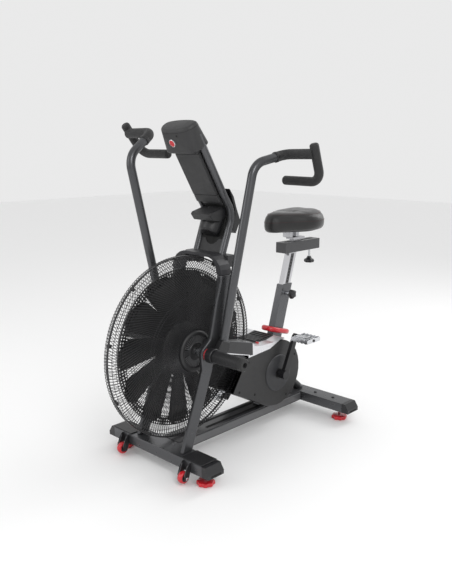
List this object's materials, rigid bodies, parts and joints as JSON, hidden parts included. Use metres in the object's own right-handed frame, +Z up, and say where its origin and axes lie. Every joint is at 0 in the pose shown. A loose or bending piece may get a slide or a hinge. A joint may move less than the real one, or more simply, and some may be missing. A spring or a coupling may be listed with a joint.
{
  "type": "air bike",
  "caption": "Stationary exercise bike with a caged fan wheel, swinging handlebar arms, cranks and pedals, an adjustable seat and a tall console on a frame with cross stabilizers.",
  "frame": {"origin": "centre of the bounding box at floor level", "axes": "+X forward, from the seat towards the fan; +Y to the rider's left; +Z up from the floor"},
  "size_m": [1.2049, 0.7448, 1.3148],
  "materials": {
    "frame_grey": "graphite metallic powder coat, satin",
    "black_moulding": "moulded black plastic, fine texture",
    "console_plastic": "moulded charcoal plastic, fine texture",
    "screen": "smoked glossy window",
    "button_plastic": "soft-touch key",
    "guard_wire": "dark powder-coated wire",
    "hub_plastic": "moulded dark grey plastic",
    "fan_plastic": "moulded black plastic",
    "bright_steel": "ground steel",
    "pivot_red_ring": "glossy red ring",
    "rod_steel": "black-coated steel",
    "belt_rubber": "ribbed rubber",
    "shroud_plastic": "moulded black plastic, fine texture",
    "beam_cover": "moulded charcoal plastic",
    "silver_trim": "bright satin",
    "red_plastic": "moulded bright red plastic",
    "crank_steel": "black paint",
    "pedal_metal": "cast, satin",
    "chrome_post": "polished",
    "carriage_steel": "zinc-plated",
    "saddle_cover": "black vinyl with stitched seams",
    "grip_foam": "closed-cell foam, matt"
  },
  "bodies": {
    "frame": {"base_beam": "frame_grey", "caddy": "black_moulding", "cage_left": "guard_wire", "cage_right": "guard_wire", "console_housing": "console_plastic", "crown": "frame_grey", "display": "screen", "drive_belt": "belt_rubber", "fan_axle": "bright_steel", "foot_peg_left": "black_moulding", "foot_peg_right": "black_moulding", "fork_left": "frame_grey", "fork_right": "frame_grey", "front_end_cap_left": "black_moulding", "front_end_cap_right": "black_moulding", "front_stabilizer": "frame_grey", "hub_cap": "hub_plastic", "mast_tube_left": "frame_grey", "mast_tube_right": "frame_grey", "mast_web": "black_moulding", "pivot_ring_left": "pivot_red_ring", "pivot_ring_right": "pivot_red_ring", "rear_end_cap_left": "black_moulding", "rear_end_cap_right": "black_moulding", "rear_stabilizer": "frame_grey", "seat_collar": "red_plastic", "seat_tube": "frame_grey", "shroud_left": "shroud_plastic", "shroud_right": "shroud_plastic", "side_beam_left": "beam_cover", "side_beam_right": "beam_cover", "top_arch": "frame_grey", "top_trim": "silver_trim"},
    "fan": {"fan_rotor": "fan_plastic"},
    "crank": {"crank_shaft": "bright_steel", "crank_left": "crank_steel", "crank_right": "crank_steel"},
    "pedal_left": {"pedal_left": "pedal_metal"},
    "pedal_right": {"pedal_right": "pedal_metal"},
    "arm_left": {"arm_left": "frame_grey", "grip_left": "grip_foam"},
    "arm_right": {"arm_right": "frame_grey", "grip_right": "grip_foam"},
    "rod_left": {"connecting_rod_left": "rod_steel"},
    "rod_right": {"connecting_rod_right": "rod_steel"},
    "seat_height": {"seat_post": "chrome_post", "slider_rail": "frame_grey"},
    "seat_slider": {"seat_carriage": "carriage_steel", "saddle": "saddle_cover"},
    "clamp_knob": {"slider_knob": "black_moulding"},
    "height_pin": {"pop_pin": "black_moulding"},
    "button_1": {"console_button_1": "button_plastic"},
    "button_2": {"console_button_2": "button_plastic"},
    "button_3": {"console_button_3": "button_plastic"},
    "wheel_left": {"transport_wheel_left": "red_plastic"},
    "wheel_right": {"transport_wheel_right": "red_plastic"},
    "foot_front_left": {"front_foot_left": "red_plastic"},
    "foot_front_right": {"front_foot_right": "red_plastic"},
    "foot_rear_left": {"rear_foot_left": "red_plastic"},
    "foot_rear_right": {"rear_foot_right": "red_plastic"}
  },
  "joints": [
    {"name": "fan_spin", "type": "hinge", "parent": "frame", "child": "fan", "pos_m": [0.2435, 0, 0.4555], "axis": [0, 1, 0], "continuous": true},
    {"name": "crank_spin", "type": "hinge", "parent": "frame", "child": "crank", "pos_m": [-0.2205, 0, 0.258], "axis": [0, 1, 0], "continuous": true},
    {"name": "pedal_left_spin", "type": "hinge", "parent": "crank", "child": "pedal_left", "pos_m": [-0.28908, 0.198, 0.41573], "axis": [0, 1, 0], "continuous": true},
    {"name": "pedal_right_spin", "type": "hinge", "parent": "crank", "child": "pedal_right", "pos_m": [-0.15192, -0.198, 0.10027], "axis": [0, 1, 0], "continuous": true},
    {"name": "arm_left_swing", "type": "hinge", "parent": "frame", "child": "arm_left", "pos_m": [0.2435, 0.1555, 0.4555], "axis": [0, 1, 0], "range_deg": [-3.75, 26.25]},
    {"name": "arm_right_swing", "type": "hinge", "parent": "frame", "child": "arm_right", "pos_m": [0.2435, -0.1555, 0.4555], "axis": [0, 1, 0], "range_deg": [-26.25, 3.75]},
    {"name": "rod_left_pivot", "type": "hinge", "parent": "arm_left", "child": "rod_left", "pos_m": [0.20539, 0.0925, 0.49329], "axis": [0, 1, 0], "range_deg": [-26.25, 3.75]},
    {"name": "rod_right_pivot", "type": "hinge", "parent": "arm_right", "child": "rod_right", "pos_m": [0.22276, -0.0925, 0.505], "axis": [0, 1, 0], "range_deg": [-3.75, 26.25]},
    {"name": "seat_height_slide", "type": "slide", "parent": "frame", "child": "seat_height", "axis": [-0.2827, 0, 0.9592], "range_m": [-0.1, 0.1]},
    {"name": "seat_fore_aft_slide", "type": "slide", "parent": "seat_height", "child": "seat_slider", "axis": [1, 0, 0], "range_m": [-0.015, 0.043]},
    {"name": "clamp_knob_turn", "type": "hinge", "parent": "seat_slider", "child": "clamp_knob", "pos_m": [-0.5625, 0, 0.72], "axis": [0, 0, -1], "range_deg": [0, 360]},
    {"name": "height_pin_pull", "type": "slide", "parent": "frame", "child": "height_pin", "axis": [0, 1, 0], "range_m": [0, 0.008], "stiffness_N_per_m": 1200, "springref_m": -0.008},
    {"name": "button_1_press", "type": "slide", "parent": "frame", "child": "button_1", "axis": [0.8582, 0, -0.5133], "range_m": [0, 0.002], "stiffness_N_per_m": 600, "springref_m": -0.001},
    {"name": "button_2_press", "type": "slide", "parent": "frame", "child": "button_2", "axis": [0.8582, 0, -0.5133], "range_m": [0, 0.002], "stiffness_N_per_m": 600, "springref_m": -0.001},
    {"name": "button_3_press", "type": "slide", "parent": "frame", "child": "button_3", "axis": [0.8582, 0, -0.5133], "range_m": [0, 0.002], "stiffness_N_per_m": 600, "springref_m": -0.001},
    {"name": "wheel_left_spin", "type": "hinge", "parent": "frame", "child": "wheel_left", "pos_m": [0.4115, 0.181, 0.03], "axis": [0, 1, 0], "continuous": true},
    {"name": "wheel_right_spin", "type": "hinge", "parent": "frame", "child": "wheel_right", "pos_m": [0.4115, -0.181, 0.03], "axis": [0, 1, 0], "continuous": true},
    {"name": "foot_front_left_turn", "type": "hinge", "parent": "frame", "child": "foot_front_left", "pos_m": [0.3515, 0.238, 0.03], "axis": [0, 0, 1], "range_deg": [-180, 180]},
    {"name": "foot_front_right_turn", "type": "hinge", "parent": "frame", "child": "foot_front_right", "pos_m": [0.3515, -0.238, 0.03], "axis": [0, 0, 1], "range_deg": [-180, 180]},
    {"name": "foot_rear_left_turn", "type": "hinge", "parent": "frame", "child": "foot_rear_left", "pos_m": [-0.5055, 0.238, 0.03], "axis": [0, 0, 1], "range_deg": [-180, 180]},
    {"name": "foot_rear_right_turn", "type": "hinge", "parent": "frame", "child": "foot_rear_right", "pos_m": [-0.5055, -0.238, 0.03], "axis": [0, 0, 1], "range_deg": [-180, 180]}
  ],
  "couplings": [
    {"joint": "crank_spin", "follows": "fan_spin", "ratio": 0.20625},
    {"joint": "arm_right_swing", "follows": "arm_left_swing", "ratio": -1},
    {"joint": "rod_left_pivot", "follows": "arm_left_swing", "ratio": -1},
    {"joint": "rod_right_pivot", "follows": "arm_left_swing", "ratio": 1}
  ]
}
